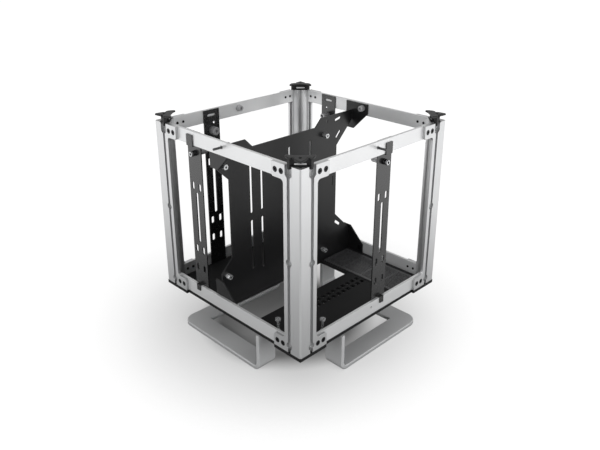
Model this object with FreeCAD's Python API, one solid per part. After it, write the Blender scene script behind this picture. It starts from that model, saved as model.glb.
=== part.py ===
import FreeCAD, Part
import math
import os
from FreeCAD import Vector as V

# driving sizes, in millimetres; +Z is up and the floor is z = 0
SIDE = 232.0                  # outer width and depth of the frame
HALF = SIDE / 2
FOOT_RISE = 50.0              # floor to the underside of the frame
BASE_T = 4.0                  # base plate thickness, inside the foot rise
Z0 = FOOT_RISE                # underside of posts and rails
POST_H = 204.3
Z1 = Z0 + POST_H              # top of posts and rails

# corner post section, measured from the outer corner along each face
NOSE = 14.2                   # width of the plain outer face
NOSE_CHAMFER = 1.3
GROOVE_END = 18.0
GROOVE_DEPTH = 4.2
WING_END = 21.0               # thick part of the wing, the rails butt on it
FLANGE_END = 23.0             # thin lip beyond the groove
TAB_END = 39.0                # lip left long at both ends to carry the rails
TAB_T = 3.2
TAB_H = 15.2
TAB_FILLET = 4.0
TAB_NIP = 1.8
COVE_R = 12.6
BORE_R = 2.2
BORE_AT = 6.0
POCKET_R = 4.0                # round pockets milled across the groove
POCKET_LOW = 8.0              # height of the lowest pocket
POCKET_MID = POST_H / 2 + 1.4
POCKET_TOP_R = 4.7            # open pocket at the post's top end
POCKET_TOP_DROP = 7.6
POCKET_TAPER = 12.4           # where its 45 degree sides run into the groove

# rails: flat bars behind the tabs
RAIL_T = 3.0
RAIL_H = 15.6
RAIL_OUT = HALF - TAB_T       # outer face of every rail
RAIL_IN = RAIL_OUT - RAIL_T   # inner face of every rail
RAIL_SCREW_AT = (25.7, 33.9)  # from the outer corner
RAIL_SCREW_Z = 7.5            # from the post's end
PANEL_SCREW_Z = 6.4           # below the top of the rail
PANEL_SCREW_X = -1.0          # off the middle of the rail
FLANGE_SCREW_Z = 7.6          # above the bottom of the rail
FLANGE_SCREW_Y = -4.6
FLANGE_SCREW_IN = 2.4         # blind depth of its thread in the rail
MID_HOLE_Z = 9.2              # small hole in the front and rear bottom rails
MID_HOLE_R = 1.1

# countersunk screws
SCREW_R = 1.45
HOLE_R = 1.6                  # clearance hole of the same screw
HEAD_R = 3.0
HEAD_H = 1.6
SCREW_TIP = 0.4               # screw end standing proud inside the rail
HEX_R = 1.15
HEX_DEPTH = 1.0

# thumbscrews: knurled knob inside, thin shank running outwards
KNOB_R = 3.7
KNOB_L = 5.8
BIG_KNOB_R = 5.1              # the rear bracket has a larger knob
BIG_KNOB_L = 6.8
KNOB_TEETH = 16
KNOB_TOOTH = 0.4
KNOB_SOCKET_R = 1.7
KNOB_SOCKET_L = 2.6
PANEL_SHANK_OUT = 10.5        # bare thread standing outside the rail
SHANK_R = 1.5
SHANK_HOLE_R = 1.8

# low round heads of the screws in the tray's lower flanges
PAN_R = 2.9
PAN_H = 1.7
PAN_DRIVE_R = 1.1
PAN_DRIVE_DEPTH = 0.9

# mini-itx board pattern, one lower hole raised
BOARD_DX = 157.48
BOARD_DZ = 154.94
BOARD_STEP = 22.86
BOARD_X = 55.9                # right column of board holes
BOARD_Z = Z0 + 16.2           # lowest board hole
STANDOFF_L = 7.0
STANDOFF_AF = 5.5
STANDOFF_BORE_R = 1.25
STANDOFF_SPIGOT_R = 2.0

# board tray: bent sheet standing on the base, front face at TRAY_Y
TRAY_Y = 16.0
TRAY_T = 1.5
TRAY_LEFT = -93.0
TRAY_RIGHT = 80.0
TRAY_TOP = Z1 - 21.4
EAR_TOP = Z1 - 11.3
EAR_INNER_LEFT = -68.2        # inner top corners of the ears
EAR_INNER_RIGHT = 51.6
EAR_Z = BOARD_Z + BOARD_DZ - 18.3   # the ears reach down past the board's upper holes
EAR_LOW_Z = Z0 + 58.5
FLANGE_FRONT = -8.5
FLANGE_BACK = 26.0
FLANGE_TIP = 13.6
FLANGE_DROP = 34.0
FLANGE_STEP = 12.0
FLANGE_TOP_GAP = 1.0          # below the top of the rails
SLOT_W = 3.4
SLOT_TALL_Z1 = TRAY_TOP - 13.6   # tops of the upper row of slots
SLOT_INNER_Z1 = TRAY_TOP - 11.9  # the two left ones reach higher
SLOT_TALL_Z0 = Z0 + POST_H * 0.509
SLOT_SHORT_Z1 = Z0 + POST_H * 0.467
SLOT_SHORT_Z0 = Z0 + 33.0
SLOT_DEEP_Z0 = Z0 + 29.5
SLOT_LEFT_X = -61.8
SLOT_NEXT_X = -45.8
SLOT_MID_X = -1.8
SLOT_RIGHT_X = 33.0
EAR_SLOT_IN = 2.4             # the slots along the right ear start this far from its edges
EAR_SLOT_X0 = TRAY_RIGHT - EAR_SLOT_IN
EAR_SLOT_X1 = TRAY_RIGHT + 5.3
EAR_SLOT_TOP = EAR_TOP - 6.0
EAR_SLOT_RISE = 1.6
EAR_SLOT_LOW = EAR_Z + 10.6
EAR_SLOT_SLANT = 6.0
LOW_EAR_SLOT_Z = EAR_LOW_Z - 11.2
LOW_EAR_SLOT_FALL = 5.7
LOW_EAR_SLOT_RUN = 7.2
SIDE_SLOT_X = TRAY_RIGHT - 6.8
SIDE_SLOT_Z = Z0 + POST_H * 0.492
SIDE_SLOT_L = 12.5
TIE_HOLE_R = 2.0
TIE_HOLE_X = EAR_INNER_RIGHT + 10.4
TIE_HOLE_Z = EAR_TOP - 5.7

# base openings: connector window, vents, mesh window
IO_W = 158.75
IO_X1 = 54.0
IO_X0 = IO_X1 - IO_W
IO_Y0 = -30.5
IO_Y1 = TRAY_Y
MESH_X0 = 57.0
MESH_X1 = 103.0
MESH_Y0 = -106.0
MESH_Y1 = 13.5
MESH_T = 1.0
MESH_LAND = 2.6               # the panel lies on the base this much all round
MESH_RIM = 3.4                # plain rim of the panel
MESH_SLOT_W = 1.2
MESH_PITCH = 2.8
MESH_ROWS = 4                 # slots in a line along the panel
MESH_BRIDGE = 2.0
VENT = 5.4
VENT_PITCH = 8.6
VENT_COLS = 13
VENT_ROWS = 2
VENT_X1 = MESH_X0 - 3.6       # the row ends beside the mesh window
VENT_Y1 = IO_Y0 - 15.0        # and runs in front of the connector window

# slotted vertical brackets, one on each side, on the rails' inner faces
BRK_W = 23.0
BRK_T = 1.4
BRK_TOP = 15.2                # height of the plate above the top rail's lower edge
BRK_HOOK_W = 10.4
BRK_HOOK_UP = 11.4
BRK_HOOK_OFF = 2.2            # hooks stand off the bracket's middle, towards its folded side
BRK_LOW_HOOK_W = 6.0
BRK_LOW_HOOK_H = 6.5
BRK_SLOT_W = 4.0
BRK_SLOT_OFF = 6.0            # paired slots, off the middle
BRK_TOP_SLOT_W = 3.0
BRK_TOP_SLOT_RUN = 4.6        # half its length between centres
BRK_TOP_SLOT_DROP = 7.0       # below the top of the rails
BRK_EYE_R = 1.8               # round hole under the top slot
BRK_EYE_DROP = 16.4
BRK_EYE_OFF = 3.6
BRK_THUMB_DROP = 25.8
BRK_PAIR_L = 9.3              # length of the short paired slots
BRK_PAIR_TOP = Z1 - 60.3      # top of the upper pair
BRK_LONG_TOP = Z1 - 71.8      # top of the long middle slot
BRK_LONG_LOW = Z0 + 71.0
BRK_PAIR_MID = Z0 + 57.0      # foot of the middle pair
BRK_PAIR_LOW = Z0 + 33.0      # foot of the lower pair
BRK_CLEAR = 0.4               # between a bracket and the knob beside it
FRONT_BRACKET = PANEL_SCREW_X + KNOB_R + BRK_CLEAR + BRK_W / 2
RIGHT_BRACKET_IN = 58.6       # middles of the other brackets from the corners beside them
REAR_BRACKET_IN = 74.0
LEFT_BRACKET_IN = 63.1
# side as quarter turns from the front, middle along that side, hand of the hook
BRACKETS = {
    "front": (0, FRONT_BRACKET, 1),
    "right": (1, HALF - RIGHT_BRACKET_IN, 1),
    "rear": (2, HALF - REAR_BRACKET_IN, -1),
    "left": (3, LEFT_BRACKET_IN - HALF, -1),
}
BUSH_R = 4.0
BUSH_L = 4.6
RING_R = 2.6
RING_L = 0.8

# feet: wide strap, two upright legs on an L that lies on the floor
STRAP_W = 25.0
STRAP_T = 5.0
BEND_R = 4.5                  # inner bend radius
LEG_X = -52.0                 # outer face of the near leg
ARM_X1 = 91.0                 # outer edge of the second arm
LEG_B_Y = 24.0                # inner face of the second leg
ARM_CORNER_R = 15.0

EDGE_R = 1.2                  # long edges of the strap
LEG_SCREWS_NEAR = (0.45, 0.8)    # across the strap, as shares of its width
LEG_SCREWS_FAR = (0.25, 0.75)
LEG_SCREW_L = 14.0
LEG_HOLE_L = 12.0

# corner caps
CAP_PLATE = 21.3              # square outline of the lobed plate
CAP_PLATE_T = 2.2
CAP_INNER_CUT = 32.5          # its inner corner is cut where a + b reaches this
CAP_TIP_CUT = 0.8             # chamfer at the outer corner
CAP_WING_CUT = 3.2            # chamfers at the two wings
CAP_NOTCH_R = 2.0             # notches in the outer edges and a small one at the tip
CAP_NOTCH_AT = 12.6
CAP_TIP_NOTCH_R = 1.3
CAP_EYE_R = 1.6               # recess in the middle of the plate
CAP_EYE_DEPTH = 1.4
CAP_BODY_W = 18.8             # block under the plate, square to the diagonal
CAP_BODY_IN = 7.4             # its outer face from the post's outer corner
CAP_BODY_OUT = 19.0
CAP_BODY_H = 6.4
CAP_SLIT_W = 11.5
CAP_SLIT_H = 1.7
CAP_SLIT_Z = 2.0
CAP_PRONG_IN = 0.3            # prong face inside the post's face
CAP_PRONG_CLEAR = 0.2         # each side of a prong in its groove
CAP_PRONG_L = 4.5
CAP_PEG_R = 2.0
CAP_PEG_L = 8.0

PILLAR_R = 1.5
PILLAR_HEAD_R = 3.2
PILLAR_COLLAR_R = 2.6
PILLAR_L = 14.0
PILLAR_HEAD_H = 2.0
PILLAR_AT = (-63.0, -97.0)


def box(x0, y0, z0, x1, y1, z1):
    return Part.makeBox(x1 - x0, y1 - y0, z1 - z0, V(x0, y0, z0))


def poly_face(points):
    return Part.Face(Part.makePolygon(points + [points[0]]))


def plate_xz(points, y0, t):
    return poly_face([V(x, y0, z) for x, z in points]).extrude(V(0, t, 0))


def plate_yz(points, x0, t):
    return poly_face([V(x0, y, z) for y, z in points]).extrude(V(t, 0, 0))


def round_upright(shape, radius, keep):
    """Round the upright edges for which keep(x, y) holds."""
    edges = []
    for e in shape.Edges:
        a = e.Vertexes[0].Point
        b = e.Vertexes[-1].Point
        if abs(a.x - b.x) < 1e-6 and abs(a.y - b.y) < 1e-6 and abs(a.z - b.z) > 1e-3 and keep(a.x, a.y):
            edges.append(e)
    return shape.makeFillet(radius, edges)


def slot_y(x, z0, z1, w, y0, y1):
    """Upright slot through a plate in the xz plane."""
    r = w / 2
    s = box(x - r, y0, z0 + r, x + r, y1, z1 - r)
    s = s.fuse(Part.makeCylinder(r, y1 - y0, V(x, y0, z0 + r), V(0, 1, 0)))
    return s.fuse(Part.makeCylinder(r, y1 - y0, V(x, y0, z1 - r), V(0, 1, 0)))


def slot_line(xa, za, xb, zb, w, y0, y1):
    """Slot between two centres, any slope, through a plate in the xz plane."""
    r = w / 2
    length = math.hypot(xb - xa, zb - za)
    s = Part.makeBox(length, y1 - y0, w, V(0, 0, -r))
    s.rotate(V(0, 0, 0), V(0, 1, 0), -math.degrees(math.atan2(zb - za, xb - xa)))
    s.translate(V(xa, y0, za))
    s = s.fuse(Part.makeCylinder(r, y1 - y0, V(xa, y0, za), V(0, 1, 0)))
    return s.fuse(Part.makeCylinder(r, y1 - y0, V(xb, y0, zb), V(0, 1, 0)))


def turned(shape, quarter):
    """The same piece on another side: front face (-y) turned about the z axis."""
    s = shape.copy()
    s.rotate(V(0, 0, 0), V(0, 0, 1), 90.0 * quarter)
    return s


def post_section():
    """Section of the near post, outer corner at (-HALF, -HALF)."""
    c = NOSE_CHAMFER
    a = [(0, c), (c, 0), (NOSE, 0), (NOSE, GROOVE_DEPTH), (GROOVE_END, GROOVE_DEPTH), (GROOVE_END, 0),
         (TAB_END, 0), (TAB_END, TAB_T), (WING_END, TAB_T), (WING_END, TAB_T + RAIL_T)]
    b = [(y, x) for x, y in reversed(a[2:])]
    first = [V(x, y, 0) for x, y in a]
    last = [V(x, y, 0) for x, y in b]
    tail = first[-1]
    head = last[0]
    mid = (tail + head) * 0.5
    half_chord = (tail - head).Length / 2
    sag = COVE_R - math.sqrt(COVE_R ** 2 - half_chord ** 2)
    crown = mid - V(1, 1, 0) * (sag / math.sqrt(2))
    edges = [Part.makeLine(p, q) for p, q in zip(first, first[1:])]
    edges.append(Part.Arc(tail, crown, head).toShape())
    edges += [Part.makeLine(p, q) for p, q in zip(last, last[1:])]
    edges.append(Part.makeLine(last[-1], first[0]))
    return Part.Face(Part.Wire(edges))


def tab_relief():
    """What is milled off the long lip between the two tabs of one face."""
    r = TAB_FILLET
    z0 = TAB_H
    z1 = POST_H - TAB_H
    nip = TAB_NIP
    pts = [V(FLANGE_END + r, 0, z0), V(TAB_END - nip, 0, z0), V(TAB_END + nip, 0, z0 - 2 * nip),
           V(TAB_END + nip, 0, z1 + 2 * nip), V(TAB_END - nip, 0, z1), V(FLANGE_END + r, 0, z1)]
    edges = [Part.makeLine(p, q) for p, q in zip(pts, pts[1:])]
    k = r * (1 - math.sqrt(0.5))
    top = Part.Arc(pts[-1], V(FLANGE_END + k, 0, z1 - k), V(FLANGE_END, 0, z1 - r))
    low = Part.Arc(V(FLANGE_END, 0, z0 + r), V(FLANGE_END + k, 0, z0 + k), pts[0])
    edges.append(top.toShape())
    edges.append(Part.makeLine(V(FLANGE_END, 0, z1 - r), V(FLANGE_END, 0, z0 + r)))
    edges.append(low.toShape())
    return Part.Face(Part.Wire(edges)).extrude(V(0, TAB_T, 0))


def swap_xy(shape):
    """Mirror a corner feature from the front face to the side face."""
    return shape.mirror(V(0, 0, 0), V(1, -1, 0))


def groove_pockets():
    mid = (NOSE + GROOVE_END) / 2
    cuts = [Part.makeCylinder(POCKET_R, GROOVE_DEPTH, V(mid, 0, z), V(0, 1, 0)) for z in (POCKET_LOW, POCKET_MID)]
    r = POCKET_TOP_R
    h = (GROOVE_END - NOSE) / 2
    top = POST_H - POCKET_TOP_DROP
    foot = POST_H - POCKET_TAPER
    shoulder = foot + r - h
    pear = [(mid - h, foot), (mid + h, foot), (mid + r, shoulder), (mid + r, POST_H), (mid - r, POST_H),
            (mid - r, shoulder)]
    cuts.append(Part.makeCylinder(r, GROOVE_DEPTH, V(mid, 0, top), V(0, 1, 0)))
    cuts.append(plate_xz(pear, 0, GROOVE_DEPTH))
    return cuts


def tab_holes():
    cuts = []
    for a in RAIL_SCREW_AT:
        for z in (RAIL_SCREW_Z, POST_H - RAIL_SCREW_Z):
            cuts.append(Part.makeCylinder(HOLE_R, TAB_T, V(a, 0, z), V(0, 1, 0)))
            cuts.append(Part.makeCone(HEAD_R, HOLE_R, HEAD_H, V(a, 0, z), V(0, 1, 0)))
    return cuts


def corner_post():
    post = post_section().extrude(V(0, 0, POST_H))
    one_face = [tab_relief()] + groove_pockets() + tab_holes()
    cuts = one_face + [swap_xy(c) for c in one_face]
    cuts.append(Part.makeCylinder(BORE_R, POST_H, V(BORE_AT, BORE_AT, 0)))
    post = post.cut(cuts)
    post.translate(V(-HALF, -HALF, Z0))
    return post


def rail(z0, screw_z, mid, depth=RAIL_T):
    """Front rail with its screw holes and one hole mid = (x, z, radius) sunk from its inner face."""
    x = HALF - WING_END
    bar = box(-x, -RAIL_OUT, z0, x, -RAIL_IN, z0 + RAIL_H)
    holes = [(s * (HALF - a), screw_z, HOLE_R) for a in RAIL_SCREW_AT for s in (-1, 1)]
    cuts = [Part.makeCylinder(r, RAIL_T, V(hx, -RAIL_OUT, hz), V(0, 1, 0)) for hx, hz, r in holes]
    mx, mz, mr = mid
    cuts.append(Part.makeCylinder(mr, depth, V(mx, -RAIL_IN, mz), V(0, -1, 0)))
    return bar.cut(cuts)


def countersunk(point, axis, length):
    """Countersunk screw with its head face at point, running along axis."""
    n = V(axis).normalize()
    cone = Part.makeCone(HEAD_R, SCREW_R, HEAD_H, point, n)
    shank = Part.makeCylinder(SCREW_R, length, point, n)
    side = V(0, 0, 1) if abs(n.z) < 0.5 else V(1, 0, 0)
    other = n.cross(side)
    ring = [point + side * (HEX_R * math.cos(math.radians(60 * i))) + other * (HEX_R * math.sin(math.radians(60 * i)))
            for i in range(6)]
    socket = poly_face(ring).extrude(n * HEX_DEPTH)
    return cone.fuse(shank).cut(socket).removeSplitter()


def rail_screws():
    length = TAB_T + RAIL_T + SCREW_TIP
    front = []
    for a in RAIL_SCREW_AT:
        for s in (-1, 1):
            for z in (Z0 + RAIL_SCREW_Z, Z1 - RAIL_SCREW_Z):
                front.append(countersunk(V(s * (HALF - a), -HALF, z), V(0, 1, 0), length))
    return Part.makeCompound([turned(f, q) for q in range(4) for f in front])


def knurled_outline(radius, teeth, tooth):
    pts = []
    for i in range(teeth):
        for k, r in ((0.0, radius), (0.5, radius - tooth)):
            t = 2 * math.pi * (i + k) / teeth
            pts.append((r * math.cos(t), r * math.sin(t)))
    return pts


def thumbscrew(x, z, knob_back, tip, big=False):
    """Front-side thumbscrew: knob back face at y = knob_back, shank out to y = -tip."""
    radius, length = (BIG_KNOB_R, BIG_KNOB_L) if big else (KNOB_R, KNOB_L)
    ring = [V(x + px, knob_back, z + pz) for px, pz in knurled_outline(radius, KNOB_TEETH, KNOB_TOOTH)]
    knob = poly_face(ring).extrude(V(0, length, 0))
    shank = Part.makeCylinder(SHANK_R, knob_back + tip, V(x, -tip, z), V(0, 1, 0))
    socket = Part.makeCylinder(KNOB_SOCKET_R, KNOB_SOCKET_L, V(x, knob_back + length - KNOB_SOCKET_L, z), V(0, 1, 0))
    return knob.fuse(shank).cut(socket)


def panel_thumbscrews():
    z = Z1 - PANEL_SCREW_Z
    tip = RAIL_OUT + PANEL_SHANK_OUT
    plain = thumbscrew(PANEL_SCREW_X, z, -RAIL_IN, tip)
    over_tray = thumbscrew(PANEL_SCREW_X, z, -(RAIL_IN - TRAY_T), tip)
    return Part.makeCompound([turned(plain, 0), turned(over_tray, 1), turned(plain, 2), turned(over_tray, 3)])


def tray_screw(side):
    """Low round-headed screw from inside through the tray flange into the bottom rail."""
    z = Z0 + FLANGE_SCREW_Z
    inner = RAIL_IN - TRAY_T
    axis = V(side, 0, 0)
    start = V(side * (inner - PAN_H), FLANGE_SCREW_Y, z)
    head = Part.makeCylinder(PAN_R, PAN_H, start, axis)
    shank = Part.makeCylinder(SHANK_R, PAN_H + TRAY_T + FLANGE_SCREW_IN, start, axis)
    drive = Part.makeCylinder(PAN_DRIVE_R, PAN_DRIVE_DEPTH, start, axis)
    return head.fuse(shank).cut(drive).removeSplitter()


def tray_screws():
    return Part.makeCompound([tray_screw(side) for side in (-1, 1)])


def tray_plate():
    x1 = RAIL_IN - TRAY_T
    left, right = TRAY_LEFT, TRAY_RIGHT
    run_l = x1 + left
    run_r = x1 - right
    rise = EAR_TOP - TRAY_TOP
    pts = [(left, Z0), (-x1, Z0), (-x1, EAR_LOW_Z - run_l), (left, EAR_LOW_Z), (left, EAR_Z),
           (-x1, EAR_Z + run_l), (-x1, EAR_TOP), (EAR_INNER_LEFT, EAR_TOP), (EAR_INNER_LEFT + rise, TRAY_TOP),
           (EAR_INNER_RIGHT - rise, TRAY_TOP), (EAR_INNER_RIGHT, EAR_TOP), (x1, EAR_TOP), (x1, EAR_Z + run_r),
           (right, EAR_Z), (right, EAR_LOW_Z),
           (x1, EAR_LOW_Z - run_r), (x1, Z0)]
    return plate_xz(pts, TRAY_Y, TRAY_T)


def tray_flange(side, top):
    """Side flange lying on a rail's inner face; side is -1 or 1."""
    f, b, t = FLANGE_FRONT, FLANGE_BACK, FLANGE_TIP
    if top:
        z = Z1 - FLANGE_TOP_GAP
        pts = [(f, z), (b, z), (b, z - FLANGE_DROP), (t, z - FLANGE_DROP), (f, z - FLANGE_STEP)]
    else:
        z = Z0
        pts = [(f, z), (b, z), (b, z + FLANGE_DROP), (t, z + FLANGE_DROP), (f, z + FLANGE_STEP)]
    x0 = RAIL_IN - TRAY_T if side > 0 else -RAIL_IN
    return plate_yz(pts, x0, TRAY_T)


def board_holes():
    x0 = BOARD_X - BOARD_DX
    return ((x0, BOARD_Z + BOARD_DZ), (BOARD_X, BOARD_Z + BOARD_DZ), (x0, BOARD_Z + BOARD_STEP), (BOARD_X, BOARD_Z))


def tray_slots(y0, y1):
    """Upright slots of the sheet and the slanted ones on its right ears."""
    tall = [(SLOT_LEFT_X, SLOT_INNER_Z1), (SLOT_NEXT_X, SLOT_INNER_Z1), (SLOT_MID_X, SLOT_TALL_Z1),
            (SLOT_RIGHT_X, SLOT_TALL_Z1)]
    short = [(SLOT_LEFT_X, SLOT_SHORT_Z0), (SLOT_NEXT_X, SLOT_DEEP_Z0), (SLOT_MID_X, SLOT_SHORT_Z0),
             (SLOT_RIGHT_X, SLOT_SHORT_Z0)]
    cuts = [slot_y(x, SLOT_TALL_Z0, z, SLOT_W, y0, y1) for x, z in tall]
    cuts += [slot_y(x, z, SLOT_SHORT_Z1, SLOT_W, y0, y1) for x, z in short]
    cuts.append(slot_y(SIDE_SLOT_X, SIDE_SLOT_Z, SIDE_SLOT_Z + SIDE_SLOT_L, SLOT_W, y0, y1))
    xa, xb = EAR_SLOT_X0, EAR_SLOT_X1
    cuts.append(slot_line(xa, EAR_SLOT_TOP - EAR_SLOT_RISE, xb, EAR_SLOT_TOP, SLOT_W, y0, y1))
    cuts.append(slot_line(xa + EAR_SLOT_IN, EAR_SLOT_LOW, xb, EAR_SLOT_LOW + EAR_SLOT_SLANT, SLOT_W, y0, y1))
    xc = TRAY_RIGHT + EAR_SLOT_IN / 2
    low = LOW_EAR_SLOT_Z - LOW_EAR_SLOT_FALL
    cuts.append(slot_line(xc, LOW_EAR_SLOT_Z, xc + LOW_EAR_SLOT_RUN, low, SLOT_W, y0, y1))
    cuts.append(Part.makeCylinder(TIE_HOLE_R, y1 - y0, V(TIE_HOLE_X, y0, TIE_HOLE_Z), V(0, 1, 0)))
    return cuts


def motherboard_tray():
    y0, y1 = TRAY_Y - TRAY_T, TRAY_Y + 2 * TRAY_T
    body = tray_plate().fuse([tray_flange(s, t) for s in (-1, 1) for t in (True, False)])
    cuts = tray_slots(y0, y1)
    for x, z in board_holes():
        cuts.append(Part.makeCylinder(STANDOFF_SPIGOT_R, y1 - y0, V(x, y0, z), V(0, 1, 0)))
    for s in (-1, 1):
        start = s * (RAIL_IN - 2 * TRAY_T)
        for y, z in ((s * PANEL_SCREW_X, Z1 - PANEL_SCREW_Z), (FLANGE_SCREW_Y, Z0 + FLANGE_SCREW_Z)):
            cuts.append(Part.makeCylinder(SHANK_HOLE_R, 3 * TRAY_T, V(start, y, z), V(s, 0, 0)))
    return body.cut(cuts).removeSplitter()


def hexagon(x, y, z, af):
    r = af / math.sqrt(3)
    return [V(x + r * math.cos(math.radians(60 * i)), y, z + r * math.sin(math.radians(60 * i))) for i in range(6)]


def board_standoffs():
    out = []
    for x, z in board_holes():
        hexa = poly_face(hexagon(x, TRAY_Y - STANDOFF_L, z, STANDOFF_AF)).extrude(V(0, STANDOFF_L, 0))
        spigot = Part.makeCylinder(STANDOFF_SPIGOT_R, TRAY_T, V(x, TRAY_Y, z), V(0, 1, 0))
        bore = Part.makeCylinder(STANDOFF_BORE_R, STANDOFF_L - 1, V(x, TRAY_Y - STANDOFF_L, z), V(0, 1, 0))
        out.append(hexa.fuse(spigot).cut(bore))
    return Part.makeCompound(out)


def base_outline():
    """Plan of the base: full square at the posts, stepped in along the rails."""
    a, b, c = HALF, RAIL_OUT, HALF - TAB_END
    quarter = [(-a, -a), (-c, -a), (-c, -b), (c, -b), (c, -a)]
    pts = []
    for q in range(4):
        ca, sa = ((1, 0), (0, 1), (-1, 0), (0, -1))[q]
        pts += [(x * ca - y * sa, x * sa + y * ca) for x, y in quarter]
    return pts


def leg_screw_points():
    near = [(LEG_X + STRAP_T / 2, -HALF + STRAP_W * k) for k in LEG_SCREWS_NEAR]
    far = [(ARM_X1 - STRAP_W * k, LEG_B_Y + STRAP_T / 2) for k in LEG_SCREWS_FAR]
    right = near + far
    return right + [(y, x) for x, y in right]


def base_plate():
    z = Z0 - BASE_T
    up = 2 * BASE_T
    body = poly_face([V(x, y, z) for x, y in base_outline()]).extrude(V(0, 0, BASE_T))
    cuts = [box(IO_X0, IO_Y0, z, IO_X1, IO_Y1, z + up)]
    for i in range(VENT_COLS):
        for k in range(VENT_ROWS):
            x = VENT_X1 - i * VENT_PITCH
            y = VENT_Y1 - k * VENT_PITCH
            cuts.append(box(x - VENT, y - VENT, z, x, y, z + up))
    m = MESH_LAND
    cuts.append(box(MESH_X0 + m, MESH_Y0 + m, z, MESH_X1 - m, MESH_Y1 - m, z + up))
    for x, y in leg_screw_points():
        cuts.append(Part.makeCylinder(HOLE_R, BASE_T, V(x, y, z)))
        cuts.append(Part.makeCone(HOLE_R, HEAD_R, HEAD_H, V(x, y, Z0 - HEAD_H)))
    for x, y in pillar_points():
        cuts.append(Part.makeCylinder(HOLE_R, BASE_T, V(x, y, z)))
    return body.cut(cuts)


def mesh_panel():
    """Thin sheet with lines of narrow slots running front to back."""
    body = box(MESH_X0, MESH_Y0, Z0, MESH_X1, MESH_Y1, Z0 + MESH_T)
    m = MESH_RIM
    lines = int((MESH_X1 - MESH_X0 - 2 * m) / MESH_PITCH)
    x0 = (MESH_X0 + MESH_X1 - (lines - 1) * MESH_PITCH - MESH_SLOT_W) / 2
    length = (MESH_Y1 - MESH_Y0 - 2 * m + MESH_BRIDGE) / MESH_ROWS
    cuts = []
    for i in range(lines):
        x = x0 + i * MESH_PITCH
        for k in range(MESH_ROWS):
            y = MESH_Y0 + m + k * length
            cuts.append(box(x, y, Z0, x + MESH_SLOT_W, y + length - MESH_BRIDGE, Z0 + MESH_T))
    return body.cut(cuts)


def bracket_body(x, hand):
    """Front bracket centred on x: inner plate, hook under and up the top rail, foot hook."""
    y0 = -RAIL_IN
    y1 = y0 + BRK_T
    top_edge = Z1 - RAIL_H
    w = BRK_W / 2
    h = BRK_HOOK_W / 2
    c = x + hand * BRK_HOOK_OFF
    plate = box(x - w, y0, Z0, x + w, y1, top_edge + BRK_TOP)
    under = box(c - h, -RAIL_OUT - BRK_T, top_edge - BRK_T, c + h, y0, top_edge)
    lip = box(c - h, -RAIL_OUT - BRK_T, top_edge, c + h, -RAIL_OUT, top_edge + BRK_HOOK_UP)
    g = BRK_LOW_HOOK_W / 2
    low_top = Z0 + RAIL_H
    over = box(c - g, -RAIL_OUT - BRK_T, low_top, c + g, y0, low_top + BRK_T)
    low_lip = box(c - g, -RAIL_OUT - BRK_T, low_top - BRK_LOW_HOOK_H, c + g, -RAIL_OUT, low_top)
    return plate.fuse([under, lip, over, low_lip])


def bracket(x, hand):
    y0 = -RAIL_IN - BRK_T
    y1 = -RAIL_IN + 2 * BRK_T
    w = BRK_SLOT_W
    cuts = [slot_y(x, BRK_LONG_LOW, BRK_LONG_TOP, w, y0, y1)]
    for o in (-BRK_SLOT_OFF, BRK_SLOT_OFF):
        for z in (BRK_PAIR_TOP - BRK_PAIR_L, BRK_PAIR_MID, BRK_PAIR_LOW):
            cuts.append(slot_y(x + o, z, z + BRK_PAIR_L, w, y0, y1))
    z = Z1 - BRK_TOP_SLOT_DROP
    run = BRK_TOP_SLOT_RUN
    cuts.append(slot_line(x - run, z, x + run, z, BRK_TOP_SLOT_W, y0, y1))
    ex, ez, r = x + hand * BRK_EYE_OFF, Z1 - BRK_EYE_DROP, BRK_EYE_R
    cuts.append(Part.makeCylinder(r, 2 * BRK_T, V(ex, -RAIL_IN, ez), V(0, 1, 0)))
    cuts.append(box(ex - r, -RAIL_OUT, Z1 - RAIL_H - BRK_T, ex + r, -RAIL_IN, Z1 - RAIL_H))
    cuts.append(Part.makeCylinder(SHANK_HOLE_R, y1 - y0, V(x, y0, Z1 - BRK_THUMB_DROP), V(0, 1, 0)))
    return bracket_body(x, hand).cut(cuts).removeSplitter()


def bracket_thumbscrews():
    z = Z1 - BRK_THUMB_DROP
    tip = RAIL_IN + BUSH_L
    out = []
    for side, (q, x, hand) in BRACKETS.items():
        out.append(turned(thumbscrew(x, z, -RAIL_IN + BRK_T, tip, side == "rear"), q))
    return Part.makeCompound(out)


def ring(x, y0, length, outer, bore):
    z = Z1 - BRK_THUMB_DROP
    body = Part.makeCylinder(outer, length, V(x, y0, z), V(0, 1, 0))
    return body.cut(Part.makeCylinder(bore, length, V(x, y0, z), V(0, 1, 0)))


def bracket_bushes():
    y = -RAIL_IN - BUSH_L
    return Part.makeCompound([turned(ring(x, y, BUSH_L, BUSH_R, SHANK_HOLE_R), q) for q, x, h in BRACKETS.values()])


def bracket_nuts():
    y = -RAIL_IN - BUSH_L - RING_L
    return Part.makeCompound([turned(ring(x, y, RING_L, RING_R, SHANK_R), q) for q, x, h in BRACKETS.values()])


def bent_leg(x0, length, y0, y1, height):
    """Side view of a strap that turns up at x0 and runs along +x on the floor."""
    t, r = STRAP_T, BEND_R
    ro = t + r
    k = 1 - math.sqrt(0.5)
    p = [V(x0 + ro, y0, 0), V(x0 + length, y0, 0), V(x0 + length, y0, t), V(x0 + ro, y0, t),
         V(x0 + t, y0, ro), V(x0 + t, y0, height), V(x0, y0, height), V(x0, y0, ro)]
    inner = Part.Arc(p[3], V(x0 + t + r * k, y0, t + r * k), p[4]).toShape()
    outer = Part.Arc(p[7], V(x0 + ro * k, y0, ro * k), p[0]).toShape()
    edges = [Part.makeLine(p[0], p[1]), Part.makeLine(p[1], p[2]), Part.makeLine(p[2], p[3]), inner,
             Part.makeLine(p[4], p[5]), Part.makeLine(p[5], p[6]), Part.makeLine(p[6], p[7]), outer]
    return Part.Face(Part.Wire(edges)).extrude(V(0, y1 - y0, 0))


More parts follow.
